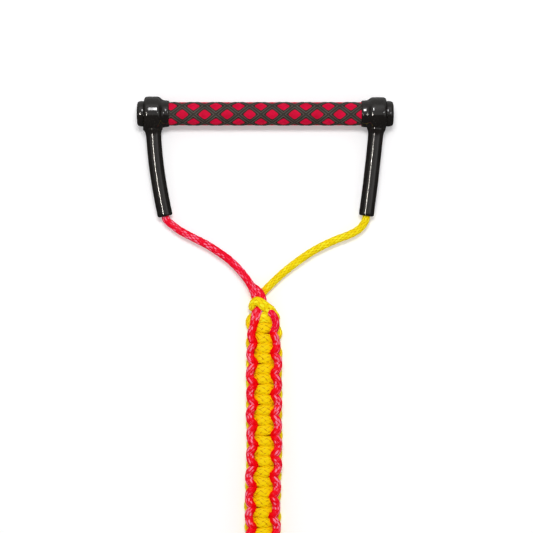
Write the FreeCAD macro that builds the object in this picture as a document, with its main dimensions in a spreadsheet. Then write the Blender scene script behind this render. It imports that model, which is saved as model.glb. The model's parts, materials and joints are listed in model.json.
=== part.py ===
# Tow rope handle with a square-knot ("cobra") braided rope, modelled lying flat.
#
# Frame: origin at the middle of the handle bar, on its axis. +X runs along the bar, +Y points away
# from the rope, so the rope runs towards -Y, and +Z is up. The floor is the plane z = -boss_od/2.
# Units are millimetres. The driving sizes are cells of the "Sizes" spreadsheet.
import FreeCAD, Part
import math
import os
import Sketcher
from FreeCAD import Placement, Rotation, Vector

os.makedirs("parts", exist_ok=True)
doc = FreeCAD.newDocument("TowRopeHandle")

# ------------------------------------------------------------------ driving sizes
SIZES = {
    "tube_od": 22.0,              # aluminium tube of the bar
    "tube_wall": 1.6,
    "tube_length": 297.6,
    "fit_gap": 0.05,              # play between the tube and the foam or a cap
    "float_gap": 0.1,             # play round the float core
    "float_inset": 5.0,           # its ends, short of the start of the caps
    "foam_od": 27.0,              # red foam layer of the grip
    "net_od": 28.2,               # black lattice layer on top of it
    "grip_length": 245.0,
    "lattice_pitch": 26.55,       # diamond pitch along the bar
    "lattice_rows": 8,            # rows of diamonds round the bar
    "lattice_open": 0.60,         # size of a diamond opening as a share of its cell
    "lattice_turn": -7.0,         # degrees, first row of diamonds from the top
    "lattice_margin": 6.0,        # plain band kept at each end
    "boss_x": 133.1,              # centre of each end boss from the middle of the bar
    "boss_width": 20.0,
    "boss_od": 40.0,
    "boss_rounding": 4.2,
    "collar_od": 31.4,
    "collar_length": 8.0,
    "collar_bore": 28.4,
    "collar_stop": 0.3,           # the collar bore ends this far short of the boss
    "seat_bore": 22.1,            # where the boot grips the tube
    "hitch_room_od": 37.2,        # room inside the boss for the rope's turns
    "hitch_room_width": 15.6,
    "guard_od": 17.8,             # rope guard, the long soft tube
    "guard_bore": 9.6,
    "guard_reach": 121.2,         # mouth of the guard from the bar's axis
    "guard_start": 8.0,           # where its sweep begins, inside the boss
    "passage_start": 13.0,        # where the sweep of its bore begins
    "guard_droop": 3.5,           # degrees below level
    "mouth_rounding": 1.6,
    "root_rounding": 2.5,         # where the guard leaves the boss
    "left_bend_from": 25.0,
    "left_bend_to": 75.0,
    "left_bend_angle": 11.0,
    "right_bend_from": 17.0,
    "right_bend_to": 37.0,
    "right_bend_angle": 6.8,
    "cap_od": 30.4,
    "cap_start": 143.2,
    "cap_length": 9.3,
    "cap_end_gap": 0.1,           # between the tube's end and the cap
    "cap_spigot_depth": 8.0,
    "cap_rounding": 3.2,
    "rope_dia": 9.4,
    "turn_dia": 7.4,              # the rope pressed flat where it wraps the tube
    "turn_gap": 0.1,              # between a turn and the tube
    "turn_overlap": 0.05,         # how far each turn reaches past the boss's middle plane
    "core_dia": 8.6,              # the straight strands inside the braid
    "core_gap": 9.0,              # their spacing
    "cord_dia": 8.2,              # working strands of the braid
    "knot_pitch": 12.15,          # length of one half knot
    "knots_per_link": 6,          # half knots between two bend axes
    "braid_x": -1.8,              # the braid hangs a little left of the middle
    "braid_z": -8.0,
    "first_knot": 261.4,          # distance of half knot 0 from the bar's axis
    "head_core_from": 223.2,      # distance where the straight strands begin
    "bend_radius": 12.5,          # round end of each braid link
    "bend_gap": 0.3,
    "bend_wedge": 14.0,           # degrees each link end leans back
    "swing_y": -126.0,            # axis where the bridle leaves the guards
    "swing_z": -7.7,
    "sway_x": -4.5,               # axis where the two legs meet
    "sway_y": -213.5,
    "sway_radius": 9.2,
    "sway_gap": 0.35,
    "eye_radius": 16.5,           # free radius of the tow eye
    "eye_rope_offset": 4.25,      # from there out to the rope's centre line
    "eye_distance": 596.0,        # its centre from the bar's axis
    "whipping_from": 549.0,
    "whipping_to": 569.0,
    "whipping_gap": 0.1,          # inside and outside of the whipping, from the strands
    "whipping_reach": 1.5,
}
sheet = doc.addObject("Spreadsheet::Sheet", "Sizes")
for row, (alias, value) in enumerate(SIZES.items(), start=1):
    sheet.set("A%d" % row, alias)
    sheet.set("B%d" % row, str(value))
    sheet.setAlias("B%d" % row, alias)
doc.recompute()

SIDES = {"left": -1, "right": 1}          # sign of x at each end of the bar


def cell(alias):
    return float(sheet.get(alias))


def value_of(expression):
    """Value of an expression over the sheet, so that a sketch starts where its bindings hold it."""
    for alias in sorted(SIZES, key=len, reverse=True):
        expression = expression.replace("Sizes." + alias, repr(cell(alias)))
    sheet.set("Z1", "=" + expression)
    sheet.recompute()
    value = float(sheet.get("Z1"))
    sheet.clear("Z1")
    return value


# ------------------------------------------------------------------ sketches and bodies
def new_body(name):
    body = doc.addObject("PartDesign::Body", name)
    body.Label = name
    return body


def feature(name, shape):
    """A plain piece, for shapes made outside a body."""
    piece = doc.addObject("Part::Feature", name)
    piece.Label = name
    piece.Shape = shape
    return piece


def sketch_on(body, role, name):
    sketch = body.newObject("Sketcher::SketchObject", name)
    plane = [f for f in body.Origin.OriginFeatures if f.Role == role][0]
    sketch.AttachmentSupport = (plane, "")
    sketch.MapMode = "FlatFace"
    return sketch


def bound_constraint(sketch, constraint, name, expression):
    index = sketch.addConstraint(constraint)
    sketch.renameConstraint(index, name)
    sketch.setExpression("Constraints." + name, expression)


def profile(sketch, corners, sign=1):
    """Closed straight-sided outline. corners: (x expression, y expression). Sign -1 mirrors x."""
    if sign < 0:
        corners = [("-1 * (" + x + ")", y) for x, y in corners]
    points = [Vector(value_of(x), value_of(y), 0) for x, y in corners]
    count = len(points)
    for i in range(count):
        sketch.addGeometry(Part.LineSegment(points[i], points[(i + 1) % count]), False)
    for i in range(count):
        sketch.addConstraint(Sketcher.Constraint("Coincident", i, 2, (i + 1) % count, 1))
    for i in range(count):
        for axis, value, expression in zip("XY", points[i], corners[i]):
            pin = Sketcher.Constraint("Distance" + axis, -1, 1, i, 1, value)
            bound_constraint(sketch, pin, "corner%d_%s" % (i, axis.lower()), expression)


def circle(sketch, x, radius):
    """A circle centred at x on the sketch's horizontal axis, its radius bound to an expression."""
    value = value_of(radius)
    sketch.addGeometry(Part.Circle(Vector(x, 0, 0), Vector(0, 0, 1), value), False)
    bound_constraint(sketch, Sketcher.Constraint("Radius", 0, value), "circle_radius", radius)


def turn_profile(body, kind, name, corners, sign=1):
    """Adds or cuts the solid made by turning an outline about the bar's axis."""
    sketch = sketch_on(body, "XY_Plane", name + "_outline")
    profile(sketch, corners, sign)
    turned = body.newObject(kind, name)
    turned.Profile = sketch
    turned.ReferenceAxis = (sketch, ["H_Axis"])
    turned.Angle = 360.0
    doc.recompute()
    return turned


def revolved(name, corners, sign=1):
    body = new_body(name)
    turned = turn_profile(body, "PartDesign::Revolution", name + "_revolution", corners, sign)
    return body, turned


def edge_names(shape, wanted):
    """Names of the edges for which wanted(edge, bounding box) holds."""
    return ["Edge%d" % i for i, edge in enumerate(shape.Edges, start=1)
            if wanted(edge, edge.BoundBox)]


def rounding(body, base, name, edges, radius_alias):
    fillet = body.newObject("PartDesign::Fillet", name)
    fillet.Base = (base, edges)
    fillet.setExpression("Radius", "Sizes." + radius_alias)
    doc.recompute()
    return fillet


# ------------------------------------------------------------------ bar: tube, float core, grip
TUBE_INSIDE = "Sizes.tube_od / 2 - Sizes.tube_wall"
TUBE_FIT = "Sizes.tube_od / 2 + Sizes.fit_gap"


def layer(name, length_alias, inside, outside):
    """A plain tube on the bar's axis, centred on the middle of the bar."""
    half = "Sizes." + length_alias + " / 2"
    start = "-(" + half + ")"
    revolved(name, [(start, inside), (half, inside), (half, outside), (start, outside)])


def float_core():
    body = new_body("float_core")
    sketch = sketch_on(body, "YZ_Plane", "float_core_section")
    circle(sketch, 0, TUBE_INSIDE + " - Sizes.float_gap")
    sketch.addConstraint(Sketcher.Constraint("Coincident", 0, 3, -1, 1))
    pad = body.newObject("PartDesign::Pad", "float_core_pad")
    pad.Profile = sketch
    pad.Midplane = True
    pad.setExpression("Length", "2 * (Sizes.cap_start - Sizes.float_inset)")
    doc.recompute()


def rod_along_x(radius, length, centre):
    start = centre - Vector(length / 2, 0, 0)
    return Part.makeCylinder(radius, length, start, Vector(1, 0, 0))


def grip_net():
    """The black layer: a thin sleeve with staggered diamond openings."""
    inside, length = cell("foam_od") / 2, cell("grip_length")
    middle = Vector(0, 0, 0)
    sleeve = rod_along_x(cell("net_od") / 2, length, middle).cut(
        rod_along_x(inside, length + 2, middle))
    pitch, rows, share = cell("lattice_pitch"), int(cell("lattice_rows")), cell("lattice_open")
    step = 360.0 / rows
    half_height = inside * math.radians(step) * share
    half_width = pitch / 2 * share
    reach = int(length / 2 / pitch) + 1
    base, depth = inside - 2, 6           # the cutters pass right through the sleeve
    cutters = []
    for row in range(rows):
        shift = 0.0 if row % 2 == 0 else pitch / 2
        for i in range(-reach, reach + 1):
            x = i * pitch + shift
            if abs(x) + half_width > length / 2 - cell("lattice_margin"):
                continue
            tips = [(x - half_width, 0), (x, -half_height), (x + half_width, 0),
                    (x, half_height), (x - half_width, 0)]
            outline = Part.makePolygon([Vector(tip_x, tip_y, base) for tip_x, tip_y in tips])
            diamond = Part.Face(outline).extrude(Vector(0, 0, depth))
            diamond.rotate(middle, Vector(1, 0, 0), cell("lattice_turn") + step * row)
            cutters.append(diamond)
    feature("grip_net", sleeve.cut(Part.makeCompound(cutters)))


layer("handle_tube", "tube_length", TUBE_INSIDE, "Sizes.tube_od / 2")
float_core()
layer("grip_foam", "grip_length", TUBE_FIT, "Sizes.foam_od / 2")
grip_net()


# ------------------------------------------------------------------ end caps
def end_cap(side):
    """A cup over the tube's end with a spigot in its bore."""
    name, sign = "end_cap_" + side, SIDES[side]
    start, end = "Sizes.cap_start", "Sizes.cap_start + Sizes.cap_length"
    seat = "Sizes.tube_length / 2 + Sizes.cap_end_gap"
    spigot = seat + " - Sizes.cap_spigot_depth"
    spigot_radius = TUBE_INSIDE + " - Sizes.fit_gap"
    body, turned = revolved(name, [
        (spigot, "0.0"),
        (end, "0.0"),
        (end, "Sizes.cap_od / 2"),
        (start, "Sizes.cap_od / 2"),
        (start, TUBE_FIT),
        (seat, TUBE_FIT),
        (seat, spigot_radius),
        (spigot, spigot_radius),
    ], sign)
    end_x = sign * value_of(end)
    rim = edge_names(turned.Shape, lambda edge, box: (
        abs(box.XMin - end_x) < 1e-4 and abs(box.XMax - end_x) < 1e-4
        and box.YMax > cell("cap_od") / 2 - 0.1))
    rounding(body, turned, name + "_rounding", rim, "cap_rounding")


for side in SIDES:
    end_cap(side)


# ------------------------------------------------------------------ T-shaped end boots
def bend_point(side, share):
    """Point on the guard's bend, in the boot's level plane, after a share of the bend's angle."""
    bend_from, bend_to = cell(side + "_bend_from"), cell(side + "_bend_to")
    angle = math.radians(cell(side + "_bend_angle"))
    radius = (bend_to - bend_from) / math.sin(angle)
    turned = angle * share
    x = cell("boss_x") - radius * (1 - math.cos(turned))
    return Vector(SIDES[side] * x, -bend_from - radius * math.sin(turned), 0)


def guard_mouth(side, past=0.0):
    """Middle of the guard's mouth, or a point some way past it along the guard."""
    angle = math.radians(cell(side + "_bend_angle"))
    run = cell("guard_reach") - cell(side + "_bend_to")
    x = bend_point(side, 1).x - SIDES[side] * run * math.tan(angle)
    along = Vector(-SIDES[side] * math.sin(angle), -math.cos(angle), 0)
    return Vector(x, -cell("guard_reach"), 0) + along * past


def sweep_guard(body, side, kind, name, start, end, diameter_alias):
    """Sweeps a circle from a distance start off the bar's axis, round the bend, to the end."""
    boss_x = SIDES[side] * cell("boss_x")
    bend = [bend_point(side, share) for share in (0, 0.5, 1)]
    spine = sketch_on(body, "XY_Plane", name + "_spine")
    spine.addGeometry(Part.LineSegment(Vector(boss_x, -start, 0), bend[0]), False)
    spine.addGeometry(Part.Arc(*bend), False)
    spine.addGeometry(Part.LineSegment(bend[2], end), False)
    section = sketch_on(body, "XZ_Plane", name + "_section")
    section.AttachmentOffset = Placement(Vector(0, 0, start), Rotation())
    circle(section, boss_x, "Sizes." + diameter_alias + " / 2")
    doc.recompute()
    pipe = body.newObject(kind, name)
    pipe.Profile = section
    pipe.Spine = (spine, ["Edge1", "Edge2", "Edge3"])
    doc.recompute()
    body.Tip = pipe
    return pipe


def is_mouth_edge(edge, box):
    return (box.YMax < -cell("guard_reach") + 2.5
            and edge.Length > 0.9 * math.pi * cell("guard_od"))


def is_root_edge(edge, box):
    """Edges over the guard's top, in the zone where it leaves the boss."""
    return (box.YMax < -8 and box.YMin > -26 and box.ZMax > cell("guard_od") / 2 - 1.0
            and box.XMax - box.XMin > 4)


def end_boot(side):
    """Boss and collar on the bar, with the rope guard reaching out towards -Y."""
    name, sign = "end_boot_" + side, SIDES[side]
    inner = "Sizes.boss_x - Sizes.boss_width / 2"
    outer = "Sizes.boss_x + Sizes.boss_width / 2"
    collar = inner + " - Sizes.collar_length"
    body, turned = revolved(name, [
        (collar, "0.0"),
        (outer, "0.0"),
        (outer, "Sizes.boss_od / 2"),
        (inner, "Sizes.boss_od / 2"),
        (inner, "Sizes.collar_od / 2"),
        (collar, "Sizes.collar_od / 2"),
    ], sign)
    rims = edge_names(turned.Shape, lambda edge, box: (
        box.XMax - box.XMin <= 1e-3 and abs(box.YMax - cell("boss_od") / 2) < 1e-3))
    rounding(body, turned, name + "_boss_rounding", rims, "boss_rounding")
    sweep_guard(body, side, "PartDesign::AdditivePipe", name + "_guard",
                cell("guard_start"), guard_mouth(side), "guard_od")
    # inside: seats on the tube, room for the rope's turns, collar bore; open 1 mm past both ends
    room_inner = "Sizes.boss_x - Sizes.hitch_room_width / 2"
    room_outer = "Sizes.boss_x + Sizes.hitch_room_width / 2"
    collar_stop = inner + " - Sizes.collar_stop"
    turn_profile(body, "PartDesign::Groove", name + "_bore", [
        (collar + " - 1", "0.0"),
        (outer + " + 1", "0.0"),
        (outer + " + 1", "Sizes.seat_bore / 2"),
        (room_outer, "Sizes.seat_bore / 2"),
        (room_outer, "Sizes.hitch_room_od / 2"),
        (room_inner, "Sizes.hitch_room_od / 2"),
        (room_inner, "Sizes.seat_bore / 2"),
        (collar_stop, "Sizes.seat_bore / 2"),
        (collar_stop, "Sizes.collar_bore / 2"),
        (collar + " - 1", "Sizes.collar_bore / 2"),
    ], sign)
    last = sweep_guard(body, side, "PartDesign::SubtractivePipe", name + "_passage",
                       cell("passage_start"), guard_mouth(side, past=3), "guard_bore")
    for tag, wanted in (("mouth_rounding", is_mouth_edge), ("root_rounding", is_root_edge)):
        edges = edge_names(last.Shape, wanted)
        if not edges:
            continue
        fillet = rounding(body, last, name + "_" + tag, edges, tag)
        # the kernel may fail to round these swept edges; they then stay sharp
        if fillet.isValid() and not fillet.Shape.isNull():
            last = fillet
        else:
            body.removeObject(fillet)
            doc.removeObject(fillet.Name)
            body.Tip = last
            doc.recompute()
    body.Placement = DROOP
    doc.recompute()


DROOP = Placement(Vector(0, 0, 0), Rotation(Vector(1, 0, 0), cell("guard_droop")))
for side in SIDES:
    end_boot(side)


# ------------------------------------------------------------------ rope ends in the boots
def strand(points, radius):
    """A round strand along straight runs with mitred turns."""
    ring = Part.Wire([Part.Circle(points[0], points[1] - points[0], radius).toShape()])
    return Part.makePolygon(points).makePipeShell([ring], True, False, 1)


def solids_only(shape, least=4.0):
    """The solids above a least volume, all facing outwards."""
    keep = [solid for solid in shape.Solids if abs(solid.Volume) > least]
    for solid in keep:
        if solid.Volume < 0:
            solid.reverse()
    return keep[0] if len(keep) == 1 else Part.makeCompound(keep)


def largest(solids):
    return max(solids, key=lambda solid: solid.Volume)


rope_radius = cell("rope_dia") / 2


def hitch(name, side):
    """Rope end: two turns round the tube inside the boss, and the standing part down the guard."""
    boss = Vector(SIDES[side] * cell("boss_x"), 0, 0)
    tube_radius, turn_radius = cell("tube_od") / 2, cell("turn_dia") / 2
    ring_radius = tube_radius + turn_radius + cell("turn_gap")
    offset = turn_radius - cell("turn_overlap")
    rings = [Part.makeTorus(ring_radius, turn_radius, boss + Vector(x, 0, 0), Vector(1, 0, 0))
             for x in (-offset, offset)]
    bend = [bend_point(side, k / 6) for k in range(7)]
    stem = strand([boss - Vector(0, ring_radius, 0)] + bend + [guard_mouth(side)], rope_radius)
    rope = rings[0].fuse(rings[1]).fuse(stem)
    rope = rope.cut(rod_along_x(tube_radius + 0.05, 60, boss))
    feature(name, solids_only(rope)).Placement = DROOP


hitch("rope_hitch_red", "left")
hitch("rope_hitch_yellow", "right")

# ------------------------------------------------------------------ bridle legs
sway_x, sway_y = cell("sway_x"), cell("sway_y")

# (x, y, z) along each leg's centre line, from the guard to the axis where the legs meet
RED_LEG = [
    (-117.0, cell("swing_y"), cell("swing_z")),
    (-109.4, -132.6, -7.8), (-96.7, -141.1, -7.9), (-82.3, -148.4, -8.0),
    (-67.8, -155.8, -8.0), (-53.2, -165.6, -7.8), (-38.7, -176.8, -7.2),
    (-25.0, -191.6, -5.6), (-12.3, -206.6, -3.9), (sway_x, sway_y, -3.5),
]
YELLOW_LEG = [
    (119.6, cell("swing_y"), cell("swing_z")),
    (113.4, -135.0, -7.8), (97.2, -144.3, -8.0), (79.6, -151.3, -8.2),
    (62.1, -159.6, -8.6), (44.5, -170.6, -9.0), (26.9, -183.8, -10.0),
    (9.4, -199.6, -11.6), (sway_x, sway_y, -12.5),
]


def vectors(table):
    return [Vector(*point) for point in table]


def smooth(points, count):
    """count + 1 evenly spaced points along a smooth curve through the given ones."""
    curve = Part.BSplineCurve()
    curve.interpolate(points)
    length = curve.length()
    return [curve.value(curve.parameterAtDistance(length * i / count, curve.FirstParameter))
            for i in range(count + 1)]


def hub(radius):
    """Upright cylinder on the axis where the legs meet."""
    return Part.makeCylinder(radius, 60, Vector(sway_x, sway_y, -40))


def bridle_leg(name, table):
    rope = strand(smooth(vectors(table), 10), rope_radius)
    rope = rope.cut(hub(cell("sway_radius") + cell("sway_gap")))
    feature(name, largest(rope.Solids))


bridle_leg("bridle_leg_red", RED_LEG)
bridle_leg("bridle_leg_yellow", YELLOW_LEG)

# ------------------------------------------------------------------ the square-knot braid
braid_x, braid_z = cell("braid_x"), cell("braid_z")
cord_radius, core_radius = cell("cord_dia") / 2, cell("core_dia") / 2
half_gap = cell("core_gap") / 2
knot_pitch, link_knots = cell("knot_pitch"), int(cell("knots_per_link"))
link_length = link_knots * knot_pitch
LINKS = 4
BEND_KNOT = -2                    # the half knot whose middle lies at the first bend axis
first_bend = cell("first_knot") + (BEND_KNOT + 0.5) * knot_pitch
last_bend = first_bend + LINKS * link_length
bend_hollow = cell("bend_radius") + cell("bend_gap")

# One working strand through an even half knot: x from the braid's middle, distance along the
# braid from the half knot's start, z from the braid's axis. Odd half knots mirror x.
OVER = [
    (17.0, 0.0, -2.0), (15.8, 3.4, -1.4), (12.6, 5.2, 1.0), (9.2, 5.8, 4.6), (5.0, 6.0, 7.6),
    (0.0, 6.1, 8.4), (-5.0, 6.2, 7.6), (-9.2, 6.4, 4.6), (-12.6, 7.0, 1.0), (-15.8, 8.8, -1.4),
]
UNDER = [
    (-16.8, 0.0, 4.5), (-15.6, 4.0, 5.2), (-13.0, 7.2, 4.0), (-10.2, 9.4, -1.5),
    (-7.0, 9.6, -6.2), (-3.0, 7.8, -8.0), (0.0, 6.1, -8.0), (3.0, 4.4, -8.0),
    (7.0, 2.6, -6.2), (10.2, 2.8, -1.5), (13.0, 5.0, 4.0), (15.6, 8.2, 5.2),
]
# The same for the half knots at the head, and the points that lead into the second of them.
HEAD_OVER = [(13.5, 4.6, 0.5), (6.0, 5.6, 7.6), (-6.0, 6.6, 7.6), (-13.5, 7.6, 0.5)]
HEAD_UNDER = [(-5.0, 7.6, -7.6), (5.0, 4.6, -7.6), (9.8, 2.8, -2.5), (13.5, 5.2, 4.2)]
HEAD_OVER_LEAD = [(16.5, 0.0, -1.5)]
HEAD_UNDER_LEAD = [(-16.5, 0.0, 4.2), (-13.5, 7.0, 4.2), (-9.8, 9.4, -2.5)]
# (x, y, z) from beside the hub, across its axis, to the first half knot
YELLOW_CROSSING = [(9.0, -200.6, -12.2), (sway_x, sway_y, -12.4),
                   (-13.5, -219.8, -11.0), (-16.3, -225.0, -7.5)]
RED_CROSSING = [(-16.6, -200.0, -4.0), (sway_x, sway_y, -3.6),
                (1.5, -219.5, -5.0), (4.5, -226.5, -11.5)]


def knot_points(table, first, end):
    """Turning points of one working strand for half knots first to end - 1."""
    points = []
    for k in range(first, end):
        side = 1 if k % 2 == 0 else -1
        start = cell("first_knot") + k * knot_pitch
        points += [Vector(braid_x + side * x, -(start + along), braid_z + z)
                   for x, along, z in table]
    return points


def link_room(start, end, round_start=True, hollow_end=True):
    """Space for one link between bend axes at two distances: round at start, hollow at end."""
    half_height, half_width = 17.0, 32.0
    lean = half_height * math.tan(math.radians(cell("bend_wedge")))
    start_edge = -start - (lean if round_start else 0.0)
    end_edge = -end + (lean if hollow_end else 0.0)
    top, bottom = braid_z + half_height, braid_z - half_height
    outline = [(-start, braid_z), (start_edge, top), (end_edge, top), (-end, braid_z),
               (end_edge, bottom), (start_edge, bottom), (-start, braid_z)]
    face = Part.Face(Part.makePolygon([Vector(-half_width, y, z) for y, z in outline]))
    room = face.extrude(Vector(2 * half_width, 0, 0))
    # an extrusion that comes out inside out would upset the booleans
    if not room.isInside(Vector(0, -(start + end) / 2, braid_z), 1e-6, False) or room.Volume < 0:
        room.reverse()
    if round_start:
        room = room.fuse(rod_along_x(cell("bend_radius"), 2 * half_width,
                                     Vector(0, -start, braid_z)))
    if hollow_end:
        room = room.cut(rod_along_x(bend_hollow, 2 * half_width, Vector(0, -end, braid_z)))
    return room


def cores(start, end):
    """The two straight strands, red at the lower x and yellow at the higher."""
    return [Part.makeCylinder(core_radius, end - start, Vector(braid_x + x, -start, braid_z),
                              Vector(0, -1, 0)) for x in (-half_gap, half_gap)]


def braid_links():
    """Every link holds the same knots, so one is built and set again one link further on."""
    room = link_room(first_bend, first_bend + link_length)
    knots = (BEND_KNOT - 2, BEND_KNOT + link_knots + 2)
    over = strand(knot_points(OVER, *knots), cord_radius).common(room)
    under = strand(knot_points(UNDER, *knots), cord_radius).common(room)
    core_red, core_yellow = [solids_only(core.common(room)) for core in
                             cores(first_bend - 20, first_bend + link_length + 20)]
    pieces = (("wrap_yellow", solids_only(over)),
              ("wrap_red", solids_only(under, least=400.0)),
              ("core_red", core_red),
              ("core_yellow", core_yellow))
    for i in range(LINKS):
        for name, shape in pieces:
            piece = feature("%s_%d" % (name, i + 1), shape.copy())
            piece.Placement = Placement(Vector(0, -link_length * i, 0), Rotation())


def head_wrap(name, crossing, table, lead):
    """One working strand from inside the hub to the first bend's hollow."""
    points = (vectors(crossing) + knot_points(table, BEND_KNOT - 1, BEND_KNOT)
              + knot_points(lead + table, BEND_KNOT, BEND_KNOT + 1))
    hollow = rod_along_x(bend_hollow, 80, Vector(braid_x, -first_bend, braid_z))
    # on the bar's side of the hub axis, only what lies inside the hub is kept
    beside_hub = Part.makeBox(90, 45, 60, Vector(sway_x - 45, sway_y, -40)).cut(
        hub(cell("sway_radius")))
    rope = strand(points, cord_radius).cut(hollow).cut(beside_hub)
    # what lies beyond the hollow is left off
    feature(name, largest([
        solid for solid in rope.Solids
        if solid.BoundBox.YMax > -first_bend + 4 and solid.CenterOfMass.y > -first_bend]))


def head_cores():
    room = link_room(-sway_y, first_bend, round_start=False)
    strands = cores(cell("head_core_from"), first_bend + 20)
    for name, core in zip(("head_core_red", "head_core_yellow"), strands):
        feature(name, solids_only(core.common(room)))


braid_links()
head_wrap("head_wrap_yellow", YELLOW_CROSSING, HEAD_OVER, HEAD_OVER_LEAD)
head_wrap("head_wrap_red", RED_CROSSING, HEAD_UNDER, HEAD_UNDER_LEAD)
head_cores()

# ------------------------------------------------------------------ tow eye
whipping_from, whipping_to = cell("whipping_from"), cell("whipping_to")
eye_room = link_room(last_bend, last_bend + 200, hollow_end=False)


def tow_eye_loop():
    """The yellow strand turns into the eye."""
    eye_radius, eye_y = cell("eye_radius"), -cell("eye_distance")
    ring_radius = eye_radius + cell("eye_rope_offset")
    opening = Part.makeCylinder(eye_radius, 40, Vector(braid_x, eye_y, braid_z - 20))
    ring = Part.makeTorus(ring_radius, rope_radius, Vector(braid_x, eye_y, braid_z),
                          Vector(0, 0, 1)).cut(opening)
    straight = cores(last_bend - 20, whipping_to + 6)[1].common(eye_room)
    throat = strand([Vector(braid_x + half_gap, -whipping_to - 2, braid_z),
                     Vector(braid_x + 1.5, eye_y + ring_radius + 1.0, braid_z)], core_radius)
    feature("tow_eye_loop", solids_only(ring.fuse(straight).fuse(throat).cut(opening)))


def red_tail_end():
    """The red strand ends just past the whipping."""
    tail = cores(last_bend - 20, whipping_to + 2)[0].common(eye_room)
    feature("red_tail_end", solids_only(tail))


def stadium_bar(margin, start, end):
    """A bar round both straight strands, a margin outside them, between two distances."""
    radius = core_radius + margin

    def at(x, z):
        return Vector(braid_x + x, -start, braid_z + z)

    wire = Part.Wire([
        Part.makeLine(at(-half_gap, radius), at(half_gap, radius)),
        Part.Arc(at(half_gap, radius), at(half_gap + radius, 0), at(half_gap, -radius)).toShape(),
        Part.makeLine(at(half_gap, -radius), at(-half_gap, -radius)),
        Part.Arc(at(-half_gap, -radius), at(-half_gap - radius, 0),
                 at(-half_gap, radius)).toShape(),
    ])
    return Part.Face(wire).extrude(Vector(0, start - end, 0))


def eye_whipping():
    outside = stadium_bar(cell("whipping_reach"), whipping_from, whipping_to)
    inside = stadium_bar(cell("whipping_gap"), whipping_from - 1, whipping_to + 1)
    feature("eye_whipping", outside.cut(inside))


tow_eye_loop()
red_tail_end()
eye_whipping()

# ------------------------------------------------------------------ state check and files
doc.recompute()
pieces = [o for o in doc.Objects if o.TypeId in ("PartDesign::Body", "Part::Feature")]
problems = ["%s is %s" % (o.Name, o.State) for o in doc.Objects
            if "Invalid" in o.State or "Error" in o.State]
for piece in pieces:
    shape = piece.Shape
    if shape.isNull() or not shape.isValid() or not shape.Solids:
        problems.append("%s has no valid shape" % piece.Label)
if problems:
    raise SystemExit("\n".join(problems))
for piece in pieces:
    piece.Shape.exportStep("parts/%s.step" % piece.Label)
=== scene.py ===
"""A tow handle with a rope bridle.

The grip bar lies along X at the origin, with a moulded boot and cap on each end. A red and a
yellow rope leave the boots, meet below the bar and run down -Y as a chain of half knots round
two core strands, to a yellow tow eye. It is seen from above, down -Z, with +Y at the top.
Shapes are worked out in millimetres and made in metres.
"""
import bpy
import bmesh
import json
import math
import numpy as np
from mathutils import Matrix, Vector


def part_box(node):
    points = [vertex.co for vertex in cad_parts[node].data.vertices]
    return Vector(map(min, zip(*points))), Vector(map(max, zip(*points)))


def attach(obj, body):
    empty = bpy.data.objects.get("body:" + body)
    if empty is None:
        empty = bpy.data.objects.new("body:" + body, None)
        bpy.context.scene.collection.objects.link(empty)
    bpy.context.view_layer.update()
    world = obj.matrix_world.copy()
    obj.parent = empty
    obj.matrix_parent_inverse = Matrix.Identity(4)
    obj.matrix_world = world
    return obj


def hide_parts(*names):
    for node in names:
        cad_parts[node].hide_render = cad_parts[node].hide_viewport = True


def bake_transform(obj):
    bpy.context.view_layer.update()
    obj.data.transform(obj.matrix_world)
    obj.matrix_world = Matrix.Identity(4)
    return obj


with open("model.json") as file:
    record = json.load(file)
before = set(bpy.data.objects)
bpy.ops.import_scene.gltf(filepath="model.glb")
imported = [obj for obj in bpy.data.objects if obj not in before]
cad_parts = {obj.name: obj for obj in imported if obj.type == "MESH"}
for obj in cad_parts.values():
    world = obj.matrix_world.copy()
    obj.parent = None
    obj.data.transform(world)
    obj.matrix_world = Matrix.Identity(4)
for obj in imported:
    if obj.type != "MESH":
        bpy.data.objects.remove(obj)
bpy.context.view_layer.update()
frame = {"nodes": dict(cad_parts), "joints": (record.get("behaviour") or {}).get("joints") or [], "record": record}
scene = bpy.context.scene
MM = 0.001
SIDE_NAMES = {-1: "left", 1: "right"}                # -X and +X


# ---------------------------------------------------------------- places read from the frame
def mm(metres):
    return np.array(metres, float) * 1000.0


def box_mm(node):
    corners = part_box(node)
    return mm(corners[0]), mm(corners[1])


joint_at = {joint["name"]: mm(joint["pos_m"]) for joint in frame["joints"]}
BEND_Y = [joint_at[name][1] for name in
          ("braid_bend_1", "braid_bend_2", "braid_bend_3", "braid_bend_4", "eye_swing")]
BRAID_X, _, BRAID_Z = joint_at["braid_bend_1"]       # the braid's centre line
EYE = mm(next(m["pos_m"] for m in frame["record"]["mounts"] if m["name"] == "tow_eye"))
FLOOR_Z = min(box_mm(node)[0][2] for node in ("end_boot_left", "end_boot_right", "wrap_red_1"))

# "Distance" below always means distance from the bar, along -Y.
HALF_KNOT = (BEND_Y[0] - BEND_Y[1]) / 6.0            # length of one half knot
HALF_KNOTS = 22
KNOTS_START = -BEND_Y[0] + 1.38 * HALF_KNOT
KNOTS_END = KNOTS_START + HALF_KNOTS * HALF_KNOT

# The moving bodies in order, the (start, end) distances of the zone between each body and the next,
# and the distances at which strands are cut between one zone and the next.
BODIES = ["handle", "bridle", "braid_head", "braid_1", "braid_2", "braid_3", "braid_4", "tow_eye"]
ZONES = [(121.4, 137.0), (203.0, 222.0)] + [(-y - 8.0, -y + 8.0) for y in BEND_Y]
CUTS = [160.0, 229.2] + [-(y + y_next) / 2 for y, y_next in zip(BEND_Y[:-1], BEND_Y[1:])]


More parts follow.
